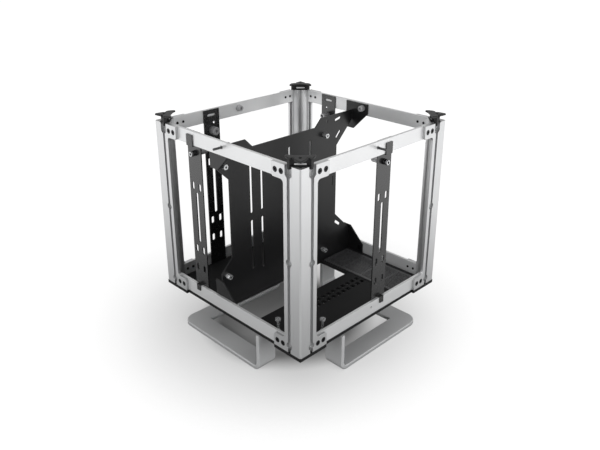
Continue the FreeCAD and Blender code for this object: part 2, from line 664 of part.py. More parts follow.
def runs_along(edge, height):
    """True for an edge along the strap: not across its width, its end or its thickness."""
    a, b = edge.Vertexes[0].Point, edge.Vertexes[-1].Point
    if min(a.z, b.z) > height - EDGE_R:
        return False
    if abs(a.x - b.x) + abs(a.y - b.y) < EDGE_R:
        return abs(a.z - b.z) > STRAP_W
    return abs(edge.Length - STRAP_W) > EDGE_R / 4


def foot_right():
    """Foot under the front and right: near leg, arm along the front, arm along the right, far leg."""
    height = Z0 - BASE_T
    near = bent_leg(LEG_X, ARM_X1 - LEG_X, -HALF, -HALF + STRAP_W, height)
    far_len = LEG_B_Y + STRAP_T + HALF
    far = bent_leg(0, far_len, 0, STRAP_W, height)
    far.rotate(V(0, 0, 0), V(0, 0, 1), -90)
    far.translate(V(ARM_X1 - STRAP_W, LEG_B_Y + STRAP_T, 0))
    body = near.fuse(far).removeSplitter()
    outer = ARM_X1
    body = round_upright(body, ARM_CORNER_R, lambda x, y: abs(x - outer) < 0.01 and abs(y + HALF) < 0.01)
    body = body.makeFillet(EDGE_R, [e for e in body.Edges if runs_along(e, height)])
    count = len(LEG_SCREWS_NEAR) + len(LEG_SCREWS_FAR)
    drill = [(x, y) for x, y in leg_screw_points()[:count]]
    return body.cut([Part.makeCylinder(SCREW_R, LEG_HOLE_L, V(x, y, height - LEG_HOLE_L)) for x, y in drill])


def foot_left():
    return foot_right().mirror(V(0, 0, 0), V(1, -1, 0))


def foot_screws():
    return Part.makeCompound([countersunk(V(x, y, Z0), V(0, 0, -1), LEG_SCREW_L) for x, y in leg_screw_points()])


def pillar_points():
    x, y = PILLAR_AT
    return ((x, y), (y, x))


def base_pillars():
    out = []
    for x, y in pillar_points():
        stem = Part.makeCylinder(PILLAR_R, BASE_T + PILLAR_L, V(x, y, Z0 - BASE_T))
        head = Part.makeCylinder(PILLAR_HEAD_R, PILLAR_HEAD_H, V(x, y, Z0 + PILLAR_L))
        collar = Part.makeCylinder(PILLAR_COLLAR_R, PILLAR_HEAD_H, V(x, y, Z0))
        out.append(stem.fuse([head, collar]).removeSplitter())
    return Part.makeCompound(out)


def cap_plate():
    """Lobed plate: a square with its inner corner and wings cut, notched on the outer edges."""
    s, t, w = CAP_PLATE, CAP_TIP_CUT, CAP_WING_CUT
    k = CAP_INNER_CUT - s
    z = POST_H + CAP_BODY_H
    pts = [(t, 0), (s - w, 0), (s, w), (s, k), (k, s), (w, s), (0, s - w), (0, t)]
    plate = poly_face([V(x, y, z) for x, y in pts]).extrude(V(0, 0, CAP_PLATE_T))
    cuts = [Part.makeCylinder(CAP_NOTCH_R, CAP_PLATE_T, V(x, y, z)) for x, y in ((CAP_NOTCH_AT, 0), (0, CAP_NOTCH_AT))]
    cuts.append(Part.makeCylinder(CAP_TIP_NOTCH_R, CAP_PLATE_T, V(0, 0, z)))
    mid = (CAP_BODY_IN + CAP_BODY_OUT) / 2 / math.sqrt(2)
    cuts.append(Part.makeCylinder(CAP_EYE_R, CAP_EYE_DEPTH, V(mid, mid, z + CAP_PLATE_T - CAP_EYE_DEPTH)))
    return plate.cut(cuts)


def on_diagonal(shape):
    """Turn a piece drawn along +x onto the diagonal of the post and up to its top."""
    shape.rotate(V(0, 0, 0), V(0, 0, 1), 45)
    shape.translate(V(0, 0, POST_H))
    return shape


def corner_cap():
    """Cap of the near post: lobed plate on a slit block, peg in the bore, prongs in the grooves."""
    w = CAP_BODY_W / 2
    block = on_diagonal(box(CAP_BODY_IN, -w, 0, CAP_BODY_OUT, w, CAP_BODY_H))
    g = CAP_SLIT_W / 2
    slit = on_diagonal(box(CAP_BODY_IN, -g, CAP_SLIT_Z, CAP_BODY_OUT, g, CAP_SLIT_Z + CAP_SLIT_H))
    x0 = NOSE + CAP_PRONG_CLEAR
    x1 = GROOVE_END - CAP_PRONG_CLEAR
    prong = box(x0, CAP_PRONG_IN, POST_H - CAP_PRONG_L, x1, GROOVE_DEPTH, POST_H + CAP_BODY_H)
    peg = Part.makeCylinder(CAP_PEG_R, CAP_PEG_L, V(BORE_AT, BORE_AT, POST_H - CAP_PEG_L))
    cap = block.cut(slit).fuse([cap_plate(), prong, swap_xy(prong), peg]).removeSplitter()
    cap.translate(V(-HALF, -HALF, Z0))
    return cap


def build():
    post = corner_post()
    cap = corner_cap()
    top_rail = rail(Z1 - RAIL_H, Z1 - RAIL_SCREW_Z, (PANEL_SCREW_X, Z1 - PANEL_SCREW_Z, SHANK_HOLE_R))
    low_rail = rail(Z0, Z0 + RAIL_SCREW_Z, (0, Z0 + MID_HOLE_Z, MID_HOLE_R))
    tray_rail = {}
    for side, y in (("right", FLANGE_SCREW_Y), ("left", -FLANGE_SCREW_Y)):
        tapped = (y, Z0 + FLANGE_SCREW_Z, SHANK_HOLE_R)
        tray_rail[side] = rail(Z0, Z0 + RAIL_SCREW_Z, tapped, FLANGE_SCREW_IN)
    nodes = {}
    for q, name in enumerate(("near", "right", "back", "left")):
        nodes["corner_post_" + name] = turned(post, q)
        nodes["corner_cap_" + name] = turned(cap, q)
    for q, name in enumerate(("front", "right", "rear", "left")):
        nodes["top_rail_" + name] = turned(top_rail, q)
        nodes["bottom_rail_" + name] = turned(tray_rail.get(name, low_rail), q)
    for name, (q, x, hand) in BRACKETS.items():
        nodes["slotted_bracket_" + name] = turned(bracket(x, hand), q)
    nodes["base_plate"] = base_plate()
    nodes["mesh_panel"] = mesh_panel()
    nodes["motherboard_tray"] = motherboard_tray()
    nodes["board_standoffs"] = board_standoffs()
    nodes["rail_screws"] = rail_screws()
    nodes["panel_thumbscrews"] = panel_thumbscrews()
    nodes["tray_screws"] = tray_screws()
    nodes["bracket_thumbscrews"] = bracket_thumbscrews()
    nodes["bracket_bushes"] = bracket_bushes()
    nodes["bracket_nuts"] = bracket_nuts()
    nodes["foot_right"] = foot_right()
    nodes["foot_left"] = foot_left()
    nodes["foot_screws"] = foot_screws()
    nodes["base_pillars"] = base_pillars()
    return nodes


os.makedirs("parts", exist_ok=True)
for node, shape in build().items():
    shape.exportStep("parts/" + node + ".step")
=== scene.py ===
import math
import bmesh
import bpy
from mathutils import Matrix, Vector


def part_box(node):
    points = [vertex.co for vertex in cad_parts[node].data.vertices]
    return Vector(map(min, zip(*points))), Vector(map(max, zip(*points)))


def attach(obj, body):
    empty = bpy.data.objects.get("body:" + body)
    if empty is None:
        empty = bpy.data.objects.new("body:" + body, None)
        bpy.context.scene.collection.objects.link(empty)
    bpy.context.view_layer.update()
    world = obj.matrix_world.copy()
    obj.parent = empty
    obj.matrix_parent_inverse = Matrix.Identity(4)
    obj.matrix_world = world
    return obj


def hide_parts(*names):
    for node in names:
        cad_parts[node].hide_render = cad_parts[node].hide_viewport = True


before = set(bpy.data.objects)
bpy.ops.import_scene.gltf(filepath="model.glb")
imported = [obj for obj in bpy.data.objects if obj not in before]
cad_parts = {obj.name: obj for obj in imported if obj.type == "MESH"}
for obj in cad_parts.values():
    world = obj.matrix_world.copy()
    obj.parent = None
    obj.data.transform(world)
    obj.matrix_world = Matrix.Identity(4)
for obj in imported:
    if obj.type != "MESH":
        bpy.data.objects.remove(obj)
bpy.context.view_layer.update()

MM = 0.001

# A mini-ITX computer case on a pale studio floor. +Z is up, the front side faces -Y and the near post
# stands at -X, -Y. Lengths are in millimetres, except for the floor, the world and the lamps.

# the camera that was fitted to the photograph, a picture of 600 x 450 pixels
PICTURE = (600, 450)
CAMERA_AXIS_DISTANCE = 720.37   # from the upright line through the middle of the case
CAMERA_HEIGHT = 458.72
CAMERA_PITCH = 22.07            # degrees downwards
CAMERA_TURN = -45               # degrees; it looks along the diagonal, over the near post
CAMERA_FOCAL_PX = 660.83
CAMERA_CENTRE_PX = (300.39, 192.09)
CAMERA_CLIP = 10.0
SENSOR = 36.0


def place_camera():
    """Put the camera where the photograph was taken from."""
    data = bpy.data.cameras.new("photo_camera")
    cam = bpy.data.objects.new("photo_camera", data)
    bpy.context.scene.collection.objects.link(cam)
    side = CAMERA_AXIS_DISTANCE * MM / math.sqrt(2)
    cam.location = (-side, -side, CAMERA_HEIGHT * MM)
    cam.rotation_euler = (math.radians(90 - CAMERA_PITCH), 0, math.radians(CAMERA_TURN))
    data.sensor_width = SENSOR
    data.lens = CAMERA_FOCAL_PX * SENSOR / PICTURE[0]
    data.shift_x = (PICTURE[0] / 2 - CAMERA_CENTRE_PX[0]) / PICTURE[0]
    data.shift_y = (CAMERA_CENTRE_PX[1] - PICTURE[1] / 2) / PICTURE[0]
    data.clip_start = CAMERA_CLIP * MM
    bpy.context.scene.camera = cam


class Tree:
    """Short ways to build a node tree."""

    def __init__(self, tree):
        self.tree = tree
        tree.nodes.clear()

    def new(self, kind, **values):
        """A node with constants in the sockets named, with _ for each space of a name."""
        node = self.tree.nodes.new(kind)
        for key, value in values.items():
            node.inputs[key.replace("_", " ")].default_value = value
        return node

    def link(self, a, b):
        self.tree.links.new(a, b)

    def ramp(self, fac, stops):
        """Numbers or colours from a list of (position, value) stops."""
        node = self.new("ShaderNodeValToRGB")
        elements = node.color_ramp.elements
        while len(elements) < len(stops):
            elements.new(0.5)
        for element, (position, value) in zip(elements, stops):
            element.position = position
            colour = value if isinstance(value, tuple) else (value, value, value)
            element.color = (*colour, 1)
        self.link(fac, node.inputs["Fac"])
        return node.outputs["Color"]

    def math(self, operation, a, b, clamp=False):
        """Result of an operation on two values, each a number or a socket."""
        node = self.new("ShaderNodeMath")
        node.operation = operation
        node.use_clamp = clamp
        for socket, value in zip(node.inputs, (a, b)):
            if isinstance(value, (int, float)):
                socket.default_value = value
            else:
                self.link(value, socket)
        return node.outputs[0]


SHADE_SAMPLES = 6               # of the rounded edges and of the painted shade in grooves
CREVICE_SHADE_REACH = 8.0                   # reach of that painted shade
NOISE_LOW, NOISE_HIGH = 0.3, 0.7   # values of a noise between which a surface varies


class Material(Tree):
    """A material with a principled shader; edge is the radius that its edges look rounded to."""

    def __init__(self, name, edge=0.0, **values):
        self.material = bpy.data.materials.new(name)
        self.material.use_nodes = True
        super().__init__(self.material.node_tree)
        self.out = self.new("ShaderNodeOutputMaterial")
        self.shader = self.new("ShaderNodeBsdfPrincipled", **values)
        self.link(self.shader.outputs["BSDF"], self.out.inputs["Surface"])
        self.coord = self.new("ShaderNodeTexCoord")
        if edge:
            self.edge = self.new("ShaderNodeBevel", Radius=edge * MM)
            self.edge.samples = SHADE_SAMPLES

    def noise(self, scale, stretch=(1, 1, 1), detail=3.0):
        """Noise over the object; a stretch below 1 draws it out along that axis."""
        mapping = self.new("ShaderNodeMapping", Scale=stretch)
        self.link(self.coord.outputs["Object"], mapping.inputs["Vector"])
        tex = self.new("ShaderNodeTexNoise", Scale=scale, Detail=detail)
        self.link(mapping.outputs["Vector"], tex.inputs["Vector"])
        return tex.outputs["Fac"]

    def spread(self, noise, low, high):
        """Numbers or colours from low to high, as the noise rises."""
        return self.ramp(noise, [(NOISE_LOW, low), (NOISE_HIGH, high)])

    def painted_crevice_shade(self, colour, stops):
        """Colour darkened by painted shade, the more closely the surface is shut in; 0 in the stops is a
        deep groove.
        """
        near = self.new("ShaderNodeAmbientOcclusion", Distance=CREVICE_SHADE_REACH * MM)
        near.samples = SHADE_SAMPLES
        mix = self.new("ShaderNodeMixRGB", Fac=1.0)
        mix.blend_type = "MULTIPLY"
        self.link(colour, mix.inputs["Color1"])
        self.link(self.ramp(near.outputs["AO"], stops), mix.inputs["Color2"])
        return mix.outputs["Color"]

    def surface(self, colour, grain, rough, bump, depth):
        """Finish the material: its colour, and a roughness and a bump that follow the grain."""
        self.link(colour, self.shader.inputs["Base Color"])
        self.link(self.spread(grain, *rough), self.shader.inputs["Roughness"])
        node = self.new("ShaderNodeBump", Strength=bump, Distance=depth * MM)
        self.link(grain, node.inputs["Height"])
        self.link(self.edge.outputs["Normal"], node.inputs["Normal"])
        self.link(node.outputs["Normal"], self.shader.inputs["Normal"])
        return self.material


# painted shade: darkening of the colour by how far the surface is shut in, from 0 in a deep groove to 1 in
# the open
POCKET_SHADE = [(0.0, 1.0), (0.42, 0.95), (0.55, 0.5), (0.7, 0.6), (0.88, 1.0)]
FOOT_SHADE = [(0.5, 0.6), (0.93, 1.0)]
RAIL_SHADE = [(0.3, 0.7), (0.7, 1.0)]
STEEL_SHADE = [(0.3, 0.25), (0.75, 1.0)]

LINE_STRETCH = 0.02             # the drawn lines are fifty times as long as they are wide
STEEL_MARKS = {"scale": 1400.0, "stretch": (1, 1, 0.3)}


def shade(colour, share):
    return tuple(c * share for c in colour)


def drawn_aluminium(name, colour, along, groove_shade, metal):
    """Satin anodised extrusion or bar: fine lines along one axis, with painted shade in grooves and
    pockets.
    """
    m = Material(name, edge=0.35, Metallic=metal)
    stretch = tuple(LINE_STRETCH if axis == along else 1.0 for axis in "XYZ")
    lines = m.noise(scale=900.0, stretch=stretch, detail=4.0)
    cloud = m.noise(scale=14.0)
    # painted shade: the colour darkens in grooves, pockets and beside steps
    base = m.painted_crevice_shade(m.spread(cloud, shade(colour, 0.95), colour), groove_shade)
    return m.surface(base, lines, rough=(0.30, 0.40), bump=0.12, depth=0.2)


def blasted_aluminium(name, colour, metal):
    """Bead-blasted, anodised flat bar: fine even grain, with painted shade where it is shut in, as near
    the floor.
    """
    m = Material(name, edge=0.4, Metallic=metal)
    grain = m.noise(scale=2600.0, detail=2.0)
    cloud = m.noise(scale=18.0, detail=2.0)
    # painted shade: the colour darkens where the bar is shut in, as near the floor and between the legs
    base = m.painted_crevice_shade(m.spread(cloud, shade(colour, 0.94), colour), FOOT_SHADE)
    return m.surface(base, grain, rough=(0.46, 0.58), bump=0.18, depth=0.2)


def powder_coat(name, colour, rough, gloss):
    """Fine black powder coat with a slight orange peel; gloss is its specular level."""
    m = Material(name, edge=0.25, Specular_IOR_Level=gloss)
    peel = m.noise(scale=900.0, detail=2.0)
    cloud = m.noise(scale=20.0, detail=2.0)
    base = m.spread(cloud, shade(colour, 0.85), colour)
    return m.surface(base, peel, rough, bump=0.25, depth=0.2)


def moulded_plastic(name, colour):
    """Matt moulded plastic with a fine grain."""
    m = Material(name, edge=0.5, Specular_IOR_Level=0.35)
    grain = m.noise(scale=1500.0)
    base = m.spread(grain, shade(colour, 0.8), colour)
    return m.surface(base, grain, rough=(0.38, 0.5), bump=0.2, depth=0.2)


def plated_steel(name, colour, rough, metal):
    """Small turned part with faint marks, with painted shade in its recesses."""
    m = Material(name, edge=0.15, Metallic=metal)
    marks = m.noise(**STEEL_MARKS)
    # painted shade: the colour darkens in recesses such as the sockets
    base = m.painted_crevice_shade(m.spread(marks, shade(colour, 0.85), colour), STEEL_SHADE)
    return m.surface(base, marks, rough, bump=0.1, depth=0.1)


def knob_and_thread(name, knob, thread, reach, rough, metal):
    """Plated knob inside the frame, dark threaded end beyond the given distance from the middle."""
    m = Material(name, edge=0.15, Metallic=metal)
    marks = m.noise(**STEEL_MARKS)
    parts = m.new("ShaderNodeSeparateXYZ")
    m.link(m.coord.outputs["Object"], parts.inputs["Vector"])
    across = [m.math("ABSOLUTE", parts.outputs[axis], 0.0) for axis in "XY"]
    outside = m.math("GREATER_THAN", m.math("MAXIMUM", *across), reach * MM)
    mix = m.new("ShaderNodeMixRGB", Color2=(*thread, 1))
    m.link(outside, mix.inputs["Fac"])
    m.link(m.spread(marks, shade(knob, 0.85), knob), mix.inputs["Color1"])
    return m.surface(mix.outputs["Color"], marks, rough, bump=0.1, depth=0.1)


RAIL_FACE = 112.8               # outer faces of the rails from the middle
POST_SILVER, POST_METAL = (0.68, 0.685, 0.69), 0.82   # colour, and share of light that is mirrored
RAIL_SILVER, RAIL_METAL = (0.82, 0.825, 0.83), 0.55
FOOT_SILVER, FOOT_METAL = (0.60, 0.605, 0.61), 0.3
NICKEL, NICKEL_ROUGH, NICKEL_METAL = (0.5, 0.5, 0.51), (0.3, 0.42), 0.55
THREAD_BLACK = (0.07, 0.07, 0.072)
LOOKS = {
    "post": drawn_aluminium("post_aluminium", POST_SILVER, "Z", POCKET_SHADE, POST_METAL),
    "rail_x": drawn_aluminium("rail_aluminium_x", RAIL_SILVER, "X", RAIL_SHADE, RAIL_METAL),
    "rail_y": drawn_aluminium("rail_aluminium_y", RAIL_SILVER, "Y", RAIL_SHADE, RAIL_METAL),
    "foot": blasted_aluminium("foot_aluminium", FOOT_SILVER, FOOT_METAL),
    "tray": powder_coat("tray_coat", (0.006, 0.006, 0.0065), rough=(0.28, 0.36), gloss=0.5),
    "bracket": powder_coat("bracket_coat", (0.007, 0.007, 0.0075), rough=(0.22, 0.3), gloss=1.0),
    "base": powder_coat("base_coat", (0.013, 0.013, 0.0135), rough=(0.5, 0.62), gloss=0.18),
    "mesh": powder_coat("mesh_coat", (0.048, 0.048, 0.05), rough=(0.24, 0.32), gloss=1.0),
    "cap": moulded_plastic("cap_plastic", (0.008, 0.008, 0.0085)),
    "black": plated_steel("black_oxide", (0.03, 0.03, 0.032), rough=(0.3, 0.45), metal=1.0),
    "bush": plated_steel("bush_oxide", (0.12, 0.12, 0.123), rough=(0.25, 0.4), metal=1.0),
    "zinc": plated_steel("zinc_plate", (0.72, 0.73, 0.74), rough=(0.18, 0.32), metal=0.75),
    "panel_screw": knob_and_thread("panel_screw_plate", NICKEL, THREAD_BLACK, RAIL_FACE,
                                   NICKEL_ROUGH, NICKEL_METAL),
    "nickel": plated_steel("nickel_plate", NICKEL, NICKEL_ROUGH, NICKEL_METAL),
}

# look of each node, by the first of these that its name starts with
CHOICE = {"corner_post": "post", "corner_cap": "cap", "foot_screws": "black", "foot": "foot",
          "top_rail_front": "rail_x", "top_rail_rear": "rail_x", "top_rail": "rail_y",
          "bottom_rail_front": "rail_x", "bottom_rail_rear": "rail_x", "bottom_rail": "rail_y",
          "base_plate": "base", "mesh_panel": "mesh", "motherboard_tray": "tray",
          "board_standoffs": "zinc", "slotted_bracket": "bracket", "rail_screws": "black",
          "panel_thumbscrews": "panel_screw", "tray_screws": "black", "bracket_thumbscrews": "nickel",
          "bracket_bushes": "black", "bracket_nuts": "zinc", "base_pillars": "zinc"}


def dress_frame():
    """Put the looks on the slots of the CAD nodes."""
    for name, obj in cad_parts.items():
        look = next(LOOKS[value] for start, value in CHOICE.items() if name.startswith(start))
        for slot in obj.material_slots:
            slot.material = look


SIDES = ("front", "right", "rear", "left")      # in quarter turns from the front
CORNERS = ("near", "right", "back", "left")     # in quarter turns from the near post
RAIL_BACK = 109.8               # inner faces of the rails from the middle

# knurled knobs
KNURL_SIDES = 40
KNURL_DEPTH = 0.35
KNOB_CHAMFER = 0.45
SOCKET_R = 1.7                  # round socket in the knob's face

# panel thumbscrews
PANEL_SCREW_OFF = 1.0           # they stand this far off the middle of the rails
PANEL_KNOB_R, PANEL_KNOB_L = 3.7, 5.8
PANEL_SOCKET_L = 2.6
PANEL_SHANK_R = 1.5
TRAY_SHEET = 1.5                # the tray's flanges lie under the right and left knobs
THREAD_ROOT, THREAD_CREST = 1.08, 1.32   # radii of the thread on the bare end
THREAD_PITCH = 0.8
THREAD_ROWS = 6                 # rows of the mesh in one pitch

# inner ends of the brackets' screws, by side: distance off the middle of the side, radius, how far
# inside the bracket's face they start, length
BRACKET_KNOBS = {"front": (14.6, 3.7, 5.8, 8.5), "right": (57.4, 3.7, 5.8, 5.6),
                 "rear": (42.0, 5.1, 6.8, 1.4), "left": (-52.9, 3.7, 5.8, 8.5)}
BRACKET_FACE = 108.4            # inner faces of the brackets from the middle
BRACKET_SCREW_HEIGHT = 228.5
BRACKET_SOCKET_L = 1.7

# ribbed bushes on the brackets' screws
BUSH_L = 4.6
BUSH_ROOT, BUSH_CREST = 2.7, 3.3
BUSH_RIBS = 3
RIB_SHAPE = [(0.15, BUSH_CREST), (0.6, BUSH_CREST), (0.75, BUSH_ROOT)]   # share of a rib's length, radius
BUSH_SIDES = 32

# corner caps: the lobed plate's outline as (a, b), distances from the post's outer corner along its two
# faces, from the tip to the middle of the inner edge; the other half is its mirror image
CORNER = 116.0                  # outer faces of the posts from the middle
POST_TOP = 254.3
PLATE_OUTLINE = [(0.5, 0.5), (1.0, 0.2), (6.5, 0.9), (10.4, 1.7), (11.2, 3.1), (12.5, 3.7), (13.8, 3.1),
                 (14.6, 1.4), (16.8, 0.5), (18.8, 0.8), (22.5, 2.4), (24.6, 4.2), (24.6, 5.6), (22.8, 6.3),
                 (19.3, 8.1), (15.8, 11.0), (13.2, 13.2)]
PLATE_HEIGHT = 262.1            # of its upper face
PLATE_T = 2.0
PLATE_UNDER = PLATE_HEIGHT - PLATE_T
PLATE_EDGE = 0.5                # chamfer of its upper edge
PLATE_MIDDLE = 10.5             # a and b of the point that the chamfer shrinks to
EYE_AT = 7.8                    # a and b of the small recess
EYE_R = 1.8
EYE_DEPTH = 1.3

# blocks under the plate: start and end along the diagonal from the post's outer corner, half the width
CAP_FLANGE = (7.6, 18.8, 9.3)
CAP_FLANGE_T = 0.9
FLANGE_TOP = POST_TOP + CAP_FLANGE_T
BLOCK_FOOT = (9.6, 16.0, 6.2)
BLOCK_HEAD = (8.4, 18.2, 6.8)
CAP_WEB = (11.2, 15.6, 10.6)

# prongs in the posts' grooves: start and end of a, start and end of b
PRONG_HEAD = (14.4, 17.8, 0.3, 4.2)
PRONG_TIP = (15.0, 17.3, 0.5, 4.0)
PRONG_L = 3.6
PEG_AT, PEG_R, PEG_L = 6.0, 2.0, 8.0   # a and b of the peg in the post, its radius and length
PEG_SIDES = 20

# pale strips in the caps' slits, painted light that stands for the bright background seen through them;
# along the diagonal from the post's outer corner
STRIP_IN, STRIP_OUT = 8.2, 17.9
STRIP_HALF = 4.9                # half the distance between the middles of its round edges
STRIP_R = 0.8
STRIP_SIDES = 24
STRIP_HEIGHT = 257.15


def turned(x, y, quarter):
    """A point of the front side, turned by quarter turns to the right, rear or left side."""
    turn = math.radians(90 * quarter)
    return x * math.cos(turn) - y * math.sin(turn), x * math.sin(turn) + y * math.cos(turn)


def circle(sides):
    """Angles of the corners of a round shape."""
    return [2 * math.pi * k / sides for k in range(sides)]


def add_piece(name, verts, faces, look):
    """New piece from points in millimetres, in the CAD frame."""
    mesh = bpy.data.meshes.new(name)
    mesh.from_pydata([tuple(c * MM for c in v) for v in verts], [], faces)
    shell = bmesh.new()
    shell.from_mesh(mesh)
    bmesh.ops.recalc_face_normals(shell, faces=shell.faces)
    shell.to_mesh(mesh)
    shell.free()
    mesh.materials.append(LOOKS[look])
    piece = bpy.data.objects.new(name, mesh)
    bpy.context.scene.collection.objects.link(piece)
    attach(piece, "root")
    return piece


def loft(rings):
    """Points and faces of a closed skin through rings with equal numbers of points."""
    sides = len(rings[0])
    verts = [point for ring in rings for point in ring]
    faces = []
    for row in range(len(rings) - 1):
        for k in range(sides):
            a, b = row * sides + k, row * sides + (k + 1) % sides
            faces.append((a, b, b + sides, a + sides))
    last = (len(rings) - 1) * sides
    faces.append(tuple(reversed(range(sides))))
    faces.append(tuple(range(last, last + sides)))
    return verts, faces


def round_piece(name, x, z, quarter, profile, look):
    """Piece round an axis square to one side, through rings of (distance from the middle, radii)."""
    rings = []
    for depth, radii in profile:
        ring = []
        for angle, radius in zip(circle(len(radii)), radii):
            px, py = turned(x + radius * math.cos(angle), -depth, quarter)
            ring.append((px, py, z + radius * math.sin(angle)))
        rings.append(ring)
    verts, faces = loft(rings)
    return add_piece(name, verts, faces, look)


def knurled(radius):
    """Radii round a knurled knob, round its chamfer and round the socket in its face."""
    teeth = [radius - (KNURL_DEPTH if k % 2 else 0.0) for k in range(KNURL_SIDES)]
    return teeth, [radius - KNOB_CHAMFER] * KNURL_SIDES, [SOCKET_R] * KNURL_SIDES


def threaded(start, end):
    """Profile of a thread between two distances from the middle, with plain rings at its ends."""
    rows = int((end - start) / THREAD_PITCH * THREAD_ROWS)
    profile = []
    for row in range(rows + 1):
        height = 0.0 if row in (0, rows) else THREAD_CREST - THREAD_ROOT
        turns = [row / THREAD_ROWS + k / KNURL_SIDES for k in range(KNURL_SIDES)]
        radii = [THREAD_ROOT + height * abs(2 * (turn % 1.0) - 1) for turn in turns]
        profile.append((start + (end - start) * row / rows, radii))
    return profile


def panel_screws():
    """Panel thumbscrews: knurled knob in the frame, shank through the rail, threaded bare end."""
    low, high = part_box("panel_thumbscrews")
    height = (low[2] + high[2]) / 2 / MM
    tip = high[0] / MM
    teeth, chamfer, socket = knurled(PANEL_KNOB_R)
    shank = [PANEL_SHANK_R] * KNURL_SIDES
    for quarter, side in enumerate(SIDES):
        face = RAIL_BACK - (TRAY_SHEET if side in ("right", "left") else 0.0)
        end = face - PANEL_KNOB_L
        profile = [(end + PANEL_SOCKET_L, socket), (end, socket), (end, chamfer),
                   (end + KNOB_CHAMFER, teeth), (face - KNOB_CHAMFER, teeth), (face, chamfer),
                   (face, shank), (RAIL_FACE, shank), *threaded(RAIL_FACE, tip)]
        screw = round_piece("panel_screw_" + side, -PANEL_SCREW_OFF, height, quarter, profile,
                            "panel_screw")
        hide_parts("panel_thumbscrews")


def bracket_knobs():
    """The inner ends of the brackets' thumbscrews: knurled, chamfered, with a socket."""
    for quarter, side in enumerate(SIDES):
        middle, radius, inside, length = BRACKET_KNOBS[side]
        teeth, chamfer, socket = knurled(radius)
        start = BRACKET_FACE - inside
        end = start - length
        profile = [(start, chamfer), (start - KNOB_CHAMFER, teeth), (end + KNOB_CHAMFER, teeth),
                   (end, chamfer), (end, socket), (end + BRACKET_SOCKET_L, socket)]
        round_piece("bracket_knob_" + side, middle, BRACKET_SCREW_HEIGHT, quarter, profile,
                    "nickel")


def bracket_bushes():
    """Ribbed bushes between the brackets and the ring nuts on their screws."""
    step = BUSH_L / BUSH_RIBS
    outline = [(RAIL_BACK, BUSH_ROOT)]
    for rib in range(BUSH_RIBS):
        start = RAIL_BACK + BUSH_L * rib / BUSH_RIBS
        outline += [(start + step * share, radius) for share, radius in RIB_SHAPE]
    outline.append((RAIL_BACK + BUSH_L, BUSH_ROOT))
    profile = [(depth, [radius] * BUSH_SIDES) for depth, radius in outline]
    for quarter, side in enumerate(SIDES):
        middle = BRACKET_KNOBS[side][0]
        bush = round_piece("bracket_bush_" + side, middle, BRACKET_SCREW_HEIGHT, quarter, profile,
                           "bush")
        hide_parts("bracket_bushes")


def at_corner(a, b, z, quarter):
    """A point of the near post from its outer corner, turned to the right, back or left post."""
    return (*turned(b - CORNER, a - CORNER, quarter), z)


def on_diagonal(along, across):
    """a and b of a point given along and across the diagonal from the post's outer corner."""
    return (along - across) / math.sqrt(2), (along + across) / math.sqrt(2)


def cap_plate(quarter):
    """Lobed plate with a chamfered upper edge and a small recess, the eye."""
    outline = PLATE_OUTLINE + [(b, a) for a, b in reversed(PLATE_OUTLINE[1:-1])]
    inset = 1 - PLATE_EDGE / PLATE_MIDDLE
    small = [tuple(PLATE_MIDDLE + (c - PLATE_MIDDLE) * inset for c in point) for point in outline]
    angles = [math.atan2(b - EYE_AT, a - EYE_AT) for a, b in outline]
    eye = [(EYE_AT + EYE_R * math.cos(t), EYE_AT + EYE_R * math.sin(t)) for t in angles]
    levels = [(outline, PLATE_UNDER), (outline, PLATE_HEIGHT - PLATE_EDGE), (small, PLATE_HEIGHT),
              (eye, PLATE_HEIGHT), (eye, PLATE_HEIGHT - EYE_DEPTH)]
    return loft([[at_corner(a, b, z, quarter) for a, b in ring] for ring, z in levels])


def cap_block(low, low_z, high, high_z, quarter):
    """Block square to the diagonal; low and high are its start, end and half width."""
    rings = []
    for (start, end, half), z in ((low, low_z), (high, high_z)):
        corners = [(start, -half), (end, -half), (end, half), (start, half)]
        rings.append([at_corner(*on_diagonal(*corner), z, quarter) for corner in corners])
    return loft(rings)


def cap_prong(mirrored, quarter):
    """Prong from the plate down into the groove of one face of the post."""
    rings = []
    for (a0, a1, b0, b1), z in ((PRONG_TIP, POST_TOP - PRONG_L), (PRONG_HEAD, POST_TOP),
                                (PRONG_HEAD, PLATE_UNDER)):
        corners = [(a0, b0), (a1, b0), (a1, b1), (a0, b1)]
        if mirrored:
            corners = [(b, a) for a, b in corners]
        rings.append([at_corner(a, b, z, quarter) for a, b in corners])
    return loft(rings)


def cap_peg(quarter):
    """Round peg in the bore of the post."""
    outline = [(PEG_AT + PEG_R * math.cos(t), PEG_AT + PEG_R * math.sin(t)) for t in circle(PEG_SIDES)]
    heights = (POST_TOP - PEG_L, POST_TOP)
    return loft([[at_corner(a, b, z, quarter) for a, b in outline] for z in heights])


def corner_caps():
    """Black plastic caps: lobed plate, tapered block on a thin flange, peg, prongs in the grooves."""
    for quarter, corner in enumerate(CORNERS):
        parts = [cap_plate(quarter),
                 cap_block(CAP_FLANGE, POST_TOP, CAP_FLANGE, FLANGE_TOP, quarter),
                 cap_block(BLOCK_FOOT, FLANGE_TOP, BLOCK_HEAD, PLATE_UNDER, quarter),
                 cap_block(CAP_WEB, FLANGE_TOP, CAP_WEB, PLATE_UNDER, quarter),
                 cap_prong(False, quarter), cap_prong(True, quarter), cap_peg(quarter)]
        verts, faces = [], []
        for part_verts, part_faces in parts:
            faces += [tuple(k + len(verts) for k in face) for face in part_faces]
            verts += part_verts
        cap = add_piece("lobed_cap_" + corner, verts, faces, "cap")
        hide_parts("corner_cap_" + corner)


